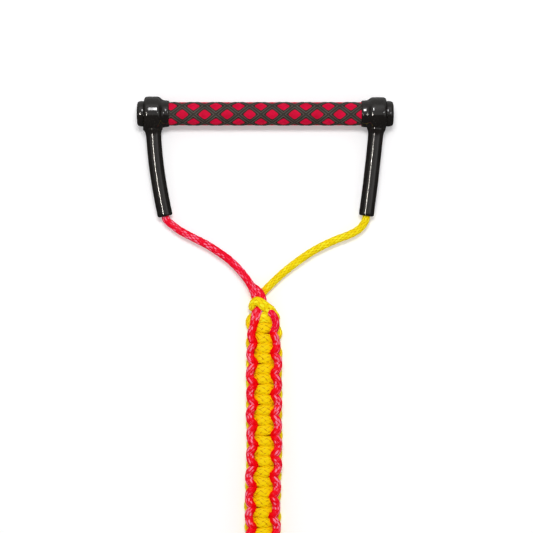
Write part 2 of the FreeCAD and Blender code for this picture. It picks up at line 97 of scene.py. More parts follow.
# ---------------------------------------------------------------- node helpers
class Value:
    """An output socket that can be used in arithmetic; each operation adds a Math node."""

    def __init__(self, graph, socket):
        self.graph, self.socket = graph, socket

    def __add__(self, other):
        return self.graph.math("ADD", self, other)

    def __sub__(self, other):
        return self.graph.math("SUBTRACT", self, other)

    def __rsub__(self, other):
        return self.graph.math("SUBTRACT", other, self)

    def __mul__(self, other):
        return self.graph.math("MULTIPLY", self, other)

    def __truediv__(self, other):
        return self.graph.math("DIVIDE", self, other)

    def __pow__(self, other):
        return self.graph.math("POWER", self, other)

    def __abs__(self):
        return self.graph.math("ABSOLUTE", self)

    def round(self):
        return self.graph.math("ROUND", self)

    def scaled(self, by, plus):
        return self.graph.math("MULTIPLY_ADD", self, by, plus)


class Graph:
    """Builds nodes in one tree. Inputs may be Values, numbers or (r, g, b) colours."""

    def __init__(self, tree):
        self.tree = tree

    def node(self, kind, **settings):
        node = self.tree.nodes.new("ShaderNode" + kind)
        for key, setting in settings.items():
            setattr(node, key, setting)
        return node

    def put(self, socket, value):
        if isinstance(value, Value):
            self.tree.links.new(value.socket, socket)
        else:
            socket.default_value = (*value, 1) if isinstance(value, tuple) else value

    def fill(self, node, inputs, output=0):
        """Sets inputs, given by name or number, and returns one output."""
        for key, value in inputs.items():
            self.put(node.inputs[key], value)
        return Value(self, node.outputs[output])

    def math(self, operation, first, second=0.0, third=0.0):
        node = self.node("Math", operation=operation)
        return self.fill(node, {0: first, 1: second, 2: third})

    def attribute(self, name):
        return self.fill(self.node("Attribute", attribute_name=name), {}, "Fac")

    def coordinate(self, kind="Object"):
        return self.fill(self.node("TexCoord"), {}, kind)

    def combine(self, x, y, z):
        return self.fill(self.node("CombineXYZ"), {0: x, 1: y, 2: z})

    def separate(self, vector):
        node = self.node("SeparateXYZ")
        self.put(node.inputs[0], vector)
        return [Value(self, socket) for socket in node.outputs]

    def noise(self, vector, scale, detail=3.0, roughness=0.6):
        return self.fill(self.node("TexNoise"), {"Vector": vector, "Scale": scale,
                                                 "Detail": detail, "Roughness": roughness}, "Fac")

    def ramp(self, factor, stops):
        """A colour ramp from (position, colour) stops."""
        node = self.node("ValToRGB")
        elements = node.color_ramp.elements
        while len(elements) > 1:
            elements.remove(elements[-1])
        elements[0].position = stops[0][0]
        elements[0].color = (*stops[0][1], 1)
        for position, colour in stops[1:]:
            elements.new(position).color = (*colour, 1)
        return self.fill(node, {0: factor})

    def mix(self, factor, first, second):
        node = self.node("Mix", data_type="RGBA")
        return self.fill(node, {0: factor, 6: first, 7: second}, 2)

    def bump(self, height, strength, distance, normal=None):
        inputs = {"Strength": strength, "Distance": distance, "Height": height}
        if normal is not None:
            inputs["Normal"] = normal
        return self.fill(self.node("Bump"), inputs)

    def smooth(self, value, low, high):
        """Smooth step from 0 at low to 1 at high; low may be the larger."""
        node = self.node("MapRange", interpolation_type="SMOOTHSTEP")
        return self.fill(node, {0: value, 1: low, 2: high})

    def surface(self, inputs):
        """Sets inputs of the material's Principled shader."""
        self.fill(self.shader, inputs)


def new_material(name):
    material = bpy.data.materials.new(name)
    material.use_nodes = True
    material.node_tree.nodes.clear()
    graph = Graph(material.node_tree)
    output = graph.node("OutputMaterial")
    graph.shader = graph.node("BsdfPrincipled")
    graph.tree.links.new(graph.shader.outputs[0], output.inputs[0])
    return material, graph


def srgb(*levels):
    """Linear colour from 0-255 sRGB levels."""
    parts = [level / 255 for level in levels]
    return tuple(c / 12.92 if c <= 0.04045 else ((c + 0.055) / 1.055) ** 2.4 for c in parts)


# ---------------------------------------------------------------- rope and boot materials
def rope_material(name, leg_colours, knot_shaded_colours, seam_shade_depth):
    """Hollow-braided synthetic rope; colours are (deep, body, light): deep also serves as painted shade, light as
    painted highlight, and the knot colours are a darker copy that paints shade over the braid.

    Vertex data say which strand a point lies on, how far across it and how far along it.
    """
    material, graph = new_material(name)
    across, along, strand, relief, in_knot, bulge = [
        graph.attribute(key) for key in ("across", "along", "strand", "relief", "knot", "bulge")]
    # fine fibres drawn out along each strand
    yarn = graph.combine(across * 5.0, along * 0.6, strand * 7.3)
    fibres = graph.noise(yarn, scale=3.0, detail=4.0, roughness=0.65)
    lines_per_strand = 3.5
    lines = graph.math("SINE", across * (2 * math.pi * lines_per_strand)).scaled(by=0.5, plus=0.5)
    fibre = fibres * 0.65 + lines * 0.35
    run = graph.noise(graph.combine(across * 1.0, along * 0.85, strand * 31.7),
                      scale=1.7, detail=1.0, roughness=0.5)
    # painted glints: whole strand floats made bright, scattered: one draw per strand and per crossing
    cell = graph.combine((strand * 83.0).round(), along.round(), 0.0)
    draw = graph.fill(graph.node("TexWhiteNoise", noise_dimensions="2D"), {"Vector": cell}, "Value")
    painted_glint = graph.smooth(abs(across), low=0.47, high=0.24) * graph.smooth(draw, low=0.42, high=0.58)
    painted_glint = painted_glint * graph.smooth(run, low=0.40, high=0.56).scaled(by=0.55, plus=0.45)
    painted_glint = painted_glint * graph.smooth(relief, low=0.55, high=0.86)
    # in the knots the painted glints show mostly on the outward bulge of a loop
    rise = bulge.scaled(by=0.90, plus=0.10)
    painted_glint = painted_glint * (1.0 - in_knot * (1.0 - rise))
    # painted shade in the crevices along both edges of each strand
    seam_shade = graph.smooth(abs(across), low=0.28, high=0.47)
    patch = graph.noise(graph.coordinate(), scale=48.0, detail=2.0, roughness=0.5)
    # place on the colour ramps: base from the relief, painted shade in the valleys and painted highlight on the
    # crowns, then one term per effect
    tone = graph.smooth(relief, low=0.12, high=0.80).scaled(by=0.44, plus=0.02)
    tone = tone + (fibre - 0.5) * 0.34
    tone = tone + patch.scaled(by=0.26, plus=-0.13)
    tone = tone + strand.scaled(by=0.14, plus=-0.07)
    # painted shade along the strand seams
    tone = tone + seam_shade * -seam_shade_depth
    # painted glints, weaker on the legs than in the knots
    tone = tone + painted_glint * in_knot.scaled(by=0.26, plus=0.50)
    leg, knot = [graph.ramp(tone, [(0.06, deep), (0.34, body), (0.62, body), (0.94, light)])
                 for deep, body, light in (leg_colours, knot_shaded_colours)]
    # the knot colours paint shade over the braid; the loops' outward bulges keep mostly the lighter leg colours
    shaded_share = in_knot * bulge.scaled(by=-0.65, plus=1.0)
    graph.surface({
        "Base Color": graph.mix(shaded_share, leg, knot),
        "Roughness": fibre.scaled(by=0.2, plus=0.34),
        "IOR": 1.16,
        "Specular IOR Level": 0.40,
        "Normal": graph.bump(fibre, strength=0.8, distance=0.0003)})
    return material


def boot_material():
    """Glossy vinyl with faint ripples, dust specks and a slight haze."""
    material, graph = new_material("boot_vinyl_black")
    place = graph.coordinate()
    ripple = graph.noise(place, scale=38.0, detail=2.0, roughness=0.45)
    fine = graph.noise(place, scale=420.0, detail=3.0, roughness=0.6)
    specks = graph.smooth(graph.noise(place, scale=900.0, detail=1.0, roughness=0.5),
                          low=0.70, high=0.78)
    colour = graph.mix(ripple, srgb(22, 20, 19), srgb(34, 31, 29))
    colour = graph.mix(specks * 0.25, colour, srgb(96, 90, 88))
    ripples = graph.bump(ripple, strength=0.06, distance=0.0010)
    graph.surface({
        "Base Color": colour,
        "Roughness": fine.scaled(by=0.03, plus=0.07),
        "Specular IOR Level": 0.5,
        "Normal": graph.bump(fine, strength=0.01, distance=0.00008, normal=ripples)})
    return material


# knot colours: the same ropes with painted shade, deeper and more saturated
ROPES = {
    "red": rope_material(
        "rope_red_braid",
        leg_colours=(srgb(214, 0, 22), srgb(246, 0, 42), srgb(255, 128, 162)),
        knot_shaded_colours=(srgb(190, 0, 0), srgb(250, 0, 8), srgb(255, 140, 160)), seam_shade_depth=0.12),
    "yellow": rope_material(
        "rope_yellow_braid",
        leg_colours=(srgb(206, 146, 0), srgb(248, 220, 0), srgb(255, 248, 50)),
        knot_shaded_colours=(srgb(198, 126, 0), srgb(254, 216, 0), srgb(255, 242, 24)), seam_shade_depth=0.42)}
BOOT = boot_material()


# ---------------------------------------------------------------- curve helpers
def arc_lengths(points, power=1.0):
    """Running sum of the step lengths, each raised to a power."""
    steps = np.linalg.norm(np.diff(points, axis=0), axis=1)
    return np.concatenate([[0], np.cumsum(steps ** power)])


def circle_angles(count):
    return np.linspace(0, 2 * np.pi, count, endpoint=False)


def spline(points, step):
    """Evenly spaced points on a natural cubic spline through the given ones."""
    points = np.array(points, float)
    count = len(points)
    spans = np.diff(arc_lengths(points, power=0.7))
    matrix = np.zeros((count, count))
    target = np.zeros((count, 3))
    matrix[0, 0] = matrix[-1, -1] = 1
    slopes = np.diff(points, axis=0) / spans[:, None]
    for i in range(1, count - 1):
        before, after = spans[i - 1], spans[i]
        matrix[i, i - 1:i + 2] = before, 2 * (before + after), after
        target[i] = 6 * (slopes[i] - slopes[i - 1])
    second = np.linalg.solve(matrix, target)         # second derivatives at the points
    pieces = []
    for i, span in enumerate(spans):
        done = np.linspace(0, 1, 24, endpoint=False)[:, None] * span
        left = span - done
        pieces.append((second[i] * left ** 3 + second[i + 1] * done ** 3) / (6 * span)
                      + (points[i] / span - second[i] * span / 6) * left
                      + (points[i + 1] / span - second[i + 1] * span / 6) * done)
    dense = np.vstack(pieces + [points[-1:]])
    travelled = arc_lengths(dense)
    steps = max(int(round(travelled[-1] / step)), 4)
    wanted = np.linspace(0, travelled[-1], steps + 1)
    return np.stack([np.interp(wanted, travelled, dense[:, axis]) for axis in range(3)], 1)


def tangents(line):
    tangent = np.gradient(line, axis=0)
    return tangent / np.linalg.norm(tangent, axis=1)[:, None]


def square_to(vector, axis):
    """The part of a vector at right angles to a unit axis."""
    return vector - axis * (vector @ axis)


def smooth_step(value, low, high):
    part = np.clip((value - low) / (high - low), 0, 1)
    return part * part * (3 - 2 * part)


def running_mean(values, window=7):
    half = window // 2
    return np.convolve(np.pad(values, (half, half), "edge"), np.ones(window) / window, "valid")


# ---------------------------------------------------------------- rope section and tube mesh
NORMAL_PULL = 0.10       # share by which the section turns to face outward at each point
BRAID_LAY = 8.0          # rope length per strand step, mm
BRAID_STRANDS = 8        # strands in each winding direction
BRAID_RELIEF = 0.56      # crown height of one strand, mm
BRAID_WEAVE = 0.22       # rise and fall of a strand over and under the others, mm
STRAND_REACH = 0.60      # half width of a strand, in strand steps


def carried_frames(line, outward):
    """Tangents, first normals, and the twist of those normals against rotation-free ones."""
    tangent = tangents(line)
    normal = np.zeros_like(line)
    twist = np.zeros(len(line))
    start = square_to(outward[0], tangent[0])
    normal[0] = start / np.linalg.norm(start)
    for i in range(1, len(line)):
        carried = square_to(normal[i - 1], tangent[i])
        carried /= np.linalg.norm(carried)
        wanted = square_to(outward[i], tangent[i])
        size = np.linalg.norm(wanted)
        turn = 0.0
        if size > 1e-3:
            wanted /= size
            if wanted @ carried < 0:
                wanted = -wanted
            angle = math.atan2(np.cross(carried, wanted) @ tangent[i], carried @ wanted)
            turn = angle * (NORMAL_PULL * size * size)
        normal[i] = carried * math.cos(turn) + np.cross(tangent[i], carried) * math.sin(turn)
        twist[i] = twist[i - 1] + turn
    return tangent, normal, twist


def rope_surface(line, outward, thick, wide, around, square):
    """Rings and vertex data of a hollow-braided rope, plain over and under.

    thick and wide are half sizes of the section; square (0 to 1) fills out its corners.
    """
    tangent, normal, twist = carried_frames(line, outward)
    binormal = np.cross(tangent, normal)
    angle = circle_angles(around)
    turned_by = (angle[None, :] + twist[:, None]) * BRAID_STRANDS / (2 * np.pi)
    advance = arc_lengths(line)[:, None] / BRAID_LAY
    # phases of the right- and left-wound strands: whole numbers are strand centres
    right, left = turned_by + advance, turned_by - advance
    right_index, left_index = np.round(right), np.round(left)
    right_across, left_across = right - right_index, left - left_index

    def height(across, weave):
        return weave + BRAID_RELIEF * np.sqrt(np.clip(1 - (across / STRAND_REACH) ** 2, 0, 1))

    right_height = height(right_across, BRAID_WEAVE * np.cos(np.pi * (left + right_index)))
    left_height = height(left_across, -BRAID_WEAVE * np.cos(np.pi * (right + left_index)))
    right_on_top = right_height >= left_height
    top = np.where(right_on_top, right_height, left_height)
    relief = (top - (BRAID_RELIEF * 0.55 - BRAID_WEAVE)) / (BRAID_RELIEF * 0.45 + 2 * BRAID_WEAVE)
    sunk = top - (BRAID_RELIEF + BRAID_WEAVE)        # 0 at the crowns, negative in the valleys
    power = 1.0 - 0.28 * square[:, None]
    cosine, sine = [np.sign(wave) * np.abs(wave) ** power
                    for wave in (np.cos(angle)[None, :], np.sin(angle)[None, :])]
    rings = (line[:, None, :]
             + normal[:, None, :] * ((thick[:, None] + sunk) * cosine)[..., None]
             + binormal[:, None, :] * ((wide[:, None] + sunk) * sine)[..., None])
    strand = np.where(right_on_top, right_index * 0.381 + 0.11, left_index * 0.618 + 0.57) % 1.0
    return rings, {"across": np.where(right_on_top, right_across, left_across),
                   "along": np.where(right_on_top, left, right),
                   "relief": np.clip(relief, 0, 1),
                   "strand": strand}


def finish_mesh(mesh, material):
    mesh.polygons.foreach_set("use_smooth", [True] * len(mesh.polygons))
    mesh.materials.append(material)
    mesh.update()
    thing = bpy.data.objects.new(mesh.name, mesh)
    scene.collection.objects.link(thing)
    return thing


def tube_mesh(name, rings, material, attributes=None):
    """A closed tube from rings of points, with a fan over each end."""
    ring_count, around, _ = rings.shape
    ends = [rings[0].mean(0) * MM, rings[-1].mean(0) * MM]
    points = np.vstack([rings.reshape(-1, 3) * MM, ends])
    index = np.arange(ring_count * around).reshape(ring_count, around)
    lower, upper = index[:-1], index[1:]
    quads = [lower, np.roll(lower, -1, 1), np.roll(upper, -1, 1), upper]
    faces = np.stack(quads, -1).reshape(-1, 4).tolist()
    first_centre = ring_count * around
    first, last = index[0].tolist(), index[-1].tolist()
    for k in range(around):
        after = (k + 1) % around
        faces.append((first[after], first[k], first_centre))
        faces.append((last[k], last[after], first_centre + 1))
    mesh = bpy.data.meshes.new(name)
    mesh.from_pydata(points.tolist(), [], faces)
    for key, values in (attributes or {}).items():
        flat = np.concatenate([values.reshape(-1), [values[0].mean(), values[-1].mean()]])
        attribute = mesh.attributes.new(key, "FLOAT", "POINT")
        attribute.data.foreach_set("value", flat.astype(np.float32))
    return finish_mesh(mesh, material)


# ---------------------------------------------------------------- rope centre lines
GUARD_DROOP = math.tan(math.radians(3.5))            # the guards hang slightly to the floor
# centre line of each guard: (inset from the outer face of the boss, y)
GUARD_LINES = {
    -1: ((10.0, -6.0), (10.5, -20.2), (11.9, -41.5), (14.1, -62.9), (17.3, -84.3),
         (21.1, -105.6), (23.8, -118.6)),
    1: ((10.4, -6.0), (11.7, -20.2), (13.7, -41.5), (16.0, -62.9), (18.4, -84.3),
        (21.1, -105.6), (22.8, -118.6))}


def guard_line(side):
    """Centre line of a guard and of the rope in it, from the boss down towards the mouth."""
    corners = box_mm("end_boot_" + SIDE_NAMES[side])
    edge = corners[0 if side < 0 else 1][0]
    return [(edge - side * inset, y, y * GUARD_DROOP) for inset, y in GUARD_LINES[side]]


# One half knot: (x from the braid's centre, distance from its start, height over the centre)
YELLOW_HALF_KNOT = [
    (17.2, 0.0, -5.0), (16.4, 3.4, -4.8), (14.2, 6.6, -3.9), (11.4, 7.8, -1.2), (9.2, 7.7, 2.0),
    (6.4, 7.0, 5.2), (3.2, 6.4, 7.0), (0.0, 6.1, 7.4), (-3.2, 5.8, 7.0), (-6.4, 5.2, 5.2),
    (-9.2, 4.5, 2.0), (-11.4, 4.4, -1.2), (-14.2, 5.6, -3.9), (-16.4, 8.8, -4.8)]
RED_HALF_KNOT = [
    (-16.65, 0.0, 7.0), (-16.3, 3.4, 7.6), (-15.2, 6.6, 8.5), (-13.2, 9.0, 8.4),
    (-11.3, 10.3, 6.2), (-10.3, 10.7, 1.6), (-9.4, 10.0, -4.0), (-6.0, 8.5, -7.4),
    (0.0, 6.1, -8.1), (6.0, 3.7, -7.4), (9.4, 2.2, -4.0), (10.3, 1.5, 1.6), (11.3, 1.9, 6.2),
    (13.2, 3.2, 8.4), (15.2, 5.6, 8.5), (16.3, 8.8, 7.6)]
# Hand-tied unevenness, one value per half knot: sideways drift of the braid, and the share by
# which red loops stand out beyond RED_LOOP_ROOT.
DRIFT = [0.1, 0.0, 0.35, 0.35, 0.35, 0.35, 0.35, 0.6, 0.35, 0.35, 0.8, 0.8,
         0.5, 0.6, -0.7, -0.9, -0.8, -1.9, -1.1, -1.1, -0.5, -0.2, 0.0, 0.0]
REACH = [0.64, 0.70] + [1.0] * 22
RED_LOOP_ROOT = 11.0
# random slack per half knot: lengthwise shift, skew, lift, sideways shift
SLACK = np.random.default_rng(7).uniform(-1, 1, (40, 4))


def per_half_knot(table, distance):
    return np.interp((distance - KNOTS_START) / HALF_KNOT, np.arange(len(table)), table)


def braid_points(rows, x_from=0.0, start=0.0):
    """Points from rows of (x, distance, height over the braid's centre)."""
    return [(x_from + x, -(start + distance), BRAID_Z + height) for x, distance, height in rows]


def half_knots(shape, first, slack_row, narrow=False):
    """One strand's run of half knots, mirrored from one to the next, no two quite alike."""
    rows = []
    for k in range(first, HALF_KNOTS):
        mirror = 1 if k % 2 == 0 else -1
        shift, skew, lift, sideways = SLACK[k + slack_row]
        for x, distance, height in shape:
            middle = max(0.0, 1 - abs(x) / 16.0)
            distance = distance + 0.55 * shift * middle + 0.035 * skew * x * middle
            distance = KNOTS_START + k * HALF_KNOT + distance
            height = height + 0.35 * lift * middle
            x = x + 0.35 * sideways * (1 - middle)
            if narrow and abs(x) > RED_LOOP_ROOT:
                beyond = (abs(x) - RED_LOOP_ROOT) * per_half_knot(REACH, distance)
                x = math.copysign(RED_LOOP_ROOT + beyond, x)
            rows.append((per_half_knot(DRIFT, distance) + mirror * x, distance, height))
    return braid_points(rows, x_from=BRAID_X)


def core_run(x, first, last):
    """A straight core strand, x off the drifting centre of the braid."""
    return braid_points([(per_half_knot(DRIFT, distance) + x, distance, 0.0)
                         for distance in np.arange(first, last, 9.0)], x_from=BRAID_X)


# Plain tables below are (x, y, z); those in braid_points are (x, distance, height).
RED_LEG = [
    (-117.2, -125.6, -7.9), (-114.6, -128.4, -7.9), (-109.4, -132.4, -8.0),
    (-103.1, -137.2, -8.0), (-96.7, -141.0, -8.1), (-89.5, -144.8, -8.2), (-82.3, -148.4, -8.2),
    (-75.0, -152.1, -8.2), (-67.8, -155.9, -8.2), (-60.4, -160.6, -8.1), (-53.2, -165.5, -8.0),
    (-45.9, -170.6, -7.8), (-38.7, -176.8, -7.4), (-31.6, -184.0, -6.7), (-25.2, -191.6, -5.8),
    (-19.6, -199.2, -4.9)]
YELLOW_LEG = [
    (119.4, -125.6, -7.9), (117.6, -129.3, -7.9), (113.0, -135.2, -8.0), (106.0, -140.2, -8.1),
    (97.2, -144.3, -8.2), (88.4, -147.4, -8.3), (79.6, -151.2, -8.4), (70.9, -155.1, -8.5),
    (62.1, -159.6, -8.8), (53.3, -164.8, -9.1), (44.5, -170.7, -9.5), (35.7, -177.1, -10.0),
    (26.9, -183.9, -10.7), (18.2, -191.3, -11.5), (9.8, -199.3, -12.3)]
# the first crossing, where the legs meet and turn into the braid
RED_HEAD = [(-15.9, -206.0, -4.6), (-13.4, -212.2, -4.8), (-11.6, -218.4, -5.6),
            (-10.2, -223.6, -6.0)] + braid_points([
                (-9.4, 228.5, 3.4), (-9.7, 233.4, 6.2), (-10.6, 238.5, 7.4), (-12.2, 243.6, 7.6),
                (-13.2, 249.4, 7.2), (-14.7, 254.6, 6.8)])
YELLOW_HEAD = [
    (2.6, -206.4, -13.2), (-3.6, -213.0, -13.6), (-8.8, -219.4, -13.6), (-12.4, -225.0, -12.4),
    (-14.8, -229.0, -9.4), (-15.6, -229.4, -5.0), (-15.1, -226.4, -1.4), (-12.8, -223.3, 0.8),
    (-9.0, -222.3, 2.2), (-4.8, -224.4, 2.8), (-0.8, -227.8, 2.2), (3.2, -231.0, 0.8),
    (6.9, -234.0, -1.2), (9.9, -236.8, -4.2), (12.0, -239.4, -6.4),
    (12.8, -242.6, -12.6)] + braid_points([
        (11.4, 244.8, -2.4), (8.9, 244.9, 1.6), (6.2, 243.4, 4.6), (2.8, 241.6, 6.8),
        (-1.8, 240.9, 7.4)])
# the last turns, tucked into the braid
RED_TAIL = braid_points([
    (-16.4, 0.0, 6.4), (-15.2, 4.0, 6.6), (-11.6, 6.8, 4.2), (-8.2, 7.8, -1.0),
    (-3.5, 8.2, -3.6), (0.0, 8.4, -3.6)], x_from=BRAID_X, start=KNOTS_END)
YELLOW_TAIL = braid_points([
    (17.0, 0.0, -5.0), (15.6, 3.4, -4.4), (12.6, 5.6, -1.6), (9.0, 6.6, 2.8),
    (4.6, 7.4, 5.2), (0.0, 8.4, 3.4)], x_from=BRAID_X, start=KNOTS_END)

red_path = (guard_line(-1) + RED_LEG + RED_HEAD
            + half_knots(RED_HALF_KNOT, first=0, slack_row=16, narrow=True) + RED_TAIL)
# the yellow knots begin partway through an earlier half knot
YELLOW_SKIP = 8
yellow_path = (guard_line(1) + YELLOW_LEG + YELLOW_HEAD
               + half_knots(YELLOW_HALF_KNOT, first=-2, slack_row=4)[YELLOW_SKIP:] + YELLOW_TAIL)
# The second red strand: out from under the red leg, under the first crossing, one loop on the
# right, then inside as a core.
red_core_path = [
    (-22.4, -195.4, -5.5), (-18.9, -200.5, -5.4), (-14.6, -205.0, -6.4), (-10.0, -208.4, -6.9),
    (-6.3, -211.9, -6.0), (-3.9, -216.2, -5.3), (-3.0, -220.4, -6.0), (-2.0, -225.2, -7.4),
    (-0.2, -229.0, -7.6)] + braid_points([
        (1.4, 231.6, 2.6), (4.0, 233.4, 6.8), (7.0, 236.0, 8.8), (10.0, 239.6, 8.8),
        (12.0, 244.2, 8.0), (12.6, 249.4, 7.2), (11.4, 254.8, 6.6), (9.2, 257.8, 6.0),
        (7.8, 259.2, 1.6), (5.6, 260.2, -3.0), (0.6, 263.0, -3.6), (-3.6, 267.0, -2.0)])
red_core_path += braid_points([(-4.2, 273.0, 0.0)], x_from=BRAID_X) + core_run(-4.6, 281.0, 572.0)
# The yellow core runs down the braid, round the tow eye and back into the braid.
EYE_LOOP_RADIUS = 20.9
yellow_core_path = core_run(4.7, 262.0, 560.0)
yellow_core_path += braid_points([(3.4, 566.0, 0.0), (5.6, 572.6, 0.0), (10.2, 578.6, 0.0)])
yellow_core_path += [(EYE[0] + EYE_LOOP_RADIUS * math.sin(angle),
                      EYE[1] + EYE_LOOP_RADIUS * math.cos(angle), EYE[2])
                     for angle in np.radians(np.arange(52, 309, 16))]
yellow_core_path += braid_points([(-13.8, 578.6, 0.0), (-9.2, 572.6, 0.0), (-6.6, 567.2, 0.0),
                                  (-6.0, 560.0, -0.6)])


# ---------------------------------------------------------------- rope strands
LEGS_END = 216.0                     # distance at which the legs begin to turn into the braid
BRAID_HALF_WIDTH, BRAID_HALF_HEIGHT = 12.0, 8.0


def outward_directions(line, in_knot):
    """Up on the legs, away from the braid's middle in the knots."""
    away = np.stack([(line[:, 0] - BRAID_X) / BRAID_HALF_WIDTH ** 2, np.zeros(len(line)),
                     (line[:, 2] - BRAID_Z) / BRAID_HALF_HEIGHT ** 2], 1)
    away /= np.maximum(np.linalg.norm(away, axis=1), 1e-6)[:, None]
    share = in_knot[:, None]
    return np.array([[0, 0, 1.0]]) * (1 - share) + away * share


def core_radius(distance, step):
    """Slimmer inside the braid and over the first few millimetres of the strand."""
    inside = smooth_step(distance, 262.0, 274.0) * (1 - smooth_step(distance, 544.0, 556.0))
    travelled = np.arange(len(distance)) * step
    return 4.6 - 1.1 * inside - 1.5 * (1 - smooth_step(travelled, 2.0, 12.0))


def cut_indices(distance, first_zone):
    """Ring numbers at which a strand passes each cut level for good, with its two ends."""
    cuts = [0]
    for level in CUTS[first_zone:]:
        last_above = max(np.nonzero(distance < level)[0], default=cuts[-1])
        cuts.append(max(int(last_above), cuts[-1] + 4))
    return cuts + [len(distance) - 1]


def build_strand(tag, path, colour, covers, core=False, first_zone=0):
    """One rope strand in pieces, one per zone; covers maps a zone to the nodes replaced."""
    step, around = (0.7, 48) if core else (0.56, 64)
    line = spline(path, step)
    distance = -line[:, 1]
    if core:
        in_knot = np.zeros(len(line))
        flat = in_knot
        thick = wide = core_radius(distance, step)
    else:
        in_knot = np.clip((distance - LEGS_END) / 14.0, 0, 1)
        # pressed flat where it crosses the middle of the braid, narrower where it dives
        flat = (smooth_step(-np.abs(line[:, 0] - BRAID_X), -12.6, -8.2) * in_knot
                * smooth_step(np.abs(line[:, 2] - BRAID_Z), 1.5, 5.0))
        dive = np.abs(tangents(line)[:, 2]) ** 2 * in_knot
        thick = running_mean(4.75 - 0.05 * in_knot - 0.75 * flat)
        wide = running_mean(4.75 + 0.45 * in_knot + 1.35 * flat - 0.6 * dive)
    rings, data = rope_surface(line, outward_directions(line, in_knot), thick, wide, around,
                               square=running_mean(flat))
    knot = np.repeat(in_knot[:, None], around, 1)
    off_centre = np.abs(rings[..., 0] - BRAID_X - per_half_knot(DRIFT, distance)[:, None])
    before_knots = 1 - smooth_step(distance, 240.0, 247.0)[:, None]
    # outward bulges of the loops: there the rope gets its painted glints and keeps the lighter leg colours
    bulge = np.maximum(smooth_step(off_centre, 10.6, 14.6), before_knots) * knot
    data.update(knot=knot, bulge=bulge)
    cuts = cut_indices(distance, first_zone)
    for zone, first, last in zip(range(first_zone, len(ZONES)), cuts[:-1], cuts[1:]):
        part = slice(first, last + 1)
        piece = tube_mesh("%s_%d" % (tag, zone), rings[part], ROPES[colour],
                          {key: values[part] for key, values in data.items()})
        start, end = ZONES[zone]
        "rope_" + colour
        for node in covers.get(zone, []):
            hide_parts(node)
        BODIES[zone + 1]
        -start * MM
        -end * MM
        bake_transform(piece)


def link_nodes(prefix):
    """The nodes of the four braid links, by zone."""
    return {zone: ["%s_%d" % (prefix, zone - 1)] for zone in range(2, 6)}


for colour, path in (("red", red_path), ("yellow", yellow_path)):
    build_strand("strand_" + colour, path, colour, {
        0: ["rope_hitch_" + colour, "bridle_leg_" + colour], 1: ["head_wrap_" + colour],
        **link_nodes("wrap_" + colour)})
build_strand("core_strand_red", red_core_path, "red", {
    1: ["head_core_red"], **link_nodes("core_red"), 6: ["red_tail_end"]},
    core=True, first_zone=1)
build_strand("core_strand_yellow", yellow_core_path, "yellow", {
    **link_nodes("core_yellow"), 2: ["head_core_yellow", "core_yellow_1"], 6: ["tow_eye_loop"]},
    core=True, first_zone=2)


# ---------------------------------------------------------------- whipping
def whipping_material():
    material, graph = new_material("whipping_thread_black")
    x, y, z = graph.separate(graph.coordinate())
    fibre = graph.noise(graph.combine(x * 900.0, y * 2600.0, z * 900.0), scale=1.0)
    graph.surface({
        "Base Color": graph.ramp(fibre, [(0.3, srgb(16, 16, 17)), (0.7, srgb(48, 47, 48))]),
        "Roughness": fibre.scaled(by=0.2, plus=0.42),
        "Normal": graph.bump(fibre, strength=0.5, distance=0.0002)})
    return material


def whipping():
    """Turns of waxed thread round the two core strands, above the tow eye."""
    turns, rings_per_turn = 15, 8
    half_spacing, radius, thread = 4.6, 5.35, 0.62
    flatness = 3.2                                   # how squarely the section spans both strands
    material = whipping_material()
    lo, hi = box_mm("eye_whipping")
    centre_x, centre_z = (lo[0] + hi[0]) / 2, (lo[2] + hi[2]) / 2
    angle = circle_angles(64)
    cosine, sine = np.cos(angle), np.sin(angle)
    last = turns * rings_per_turn
    rings = []
    for i in range(last + 1):
        phase = (i % rings_per_turn) / rings_per_turn
        swell = thread * math.sqrt(1 - (2 * phase - 1) ** 2)
        if i in (0, last):
            swell = -0.6                             # the ends turn in towards the ropes
        reach = radius + swell + 0.05 * np.sin(angle + 0.3 * i)
        span = half_spacing * np.tanh(flatness * cosine) / math.tanh(flatness)
        y = hi[1] + (lo[1] - hi[1]) * i / last
        rings.append(np.stack([centre_x + span + reach * cosine, y + 0.35 * sine,
                               centre_z + reach * sine], 1))
    turns_object = tube_mesh("eye_whipping_turns", np.array(rings), material)
    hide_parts("eye_whipping")
    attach(turns_object, "tow_eye")


whipping()

# ---------------------------------------------------------------- grip
DIAMOND_PITCH = 26.55                # along the bar
DIAMOND_ROWS = 8                     # round the bar
DIAMOND_OFFSET = 8.2                 # x of a diamond's centre
DIAMOND_PHASE = math.radians(7.0)    # its angle from the top of the bar
DIAMOND_POWER = 5.0                  # a high power norm rounds the diamonds' corners
GRIP_EDGE = 1.5                      # length of the rounding at each end


def diamonds(x, angle, unit=1.0):
    """Distances from a staggered lattice's two sets of lines, and from the diamond centres.

    Works on arrays and on node Values; unit is the size of a millimetre in x.
    """
    row = (angle - DIAMOND_PHASE) * (DIAMOND_ROWS / (2 * math.pi))
    column = (x - DIAMOND_OFFSET * unit) / (DIAMOND_PITCH * unit)
    rising = column + row * 0.5
    falling = column - row * 0.5
    rising = abs(rising - rising.round())
    falling = abs(falling - falling.round())
    centre = (rising ** DIAMOND_POWER + falling ** DIAMOND_POWER) ** (1 / DIAMOND_POWER)
    return rising, falling, centre


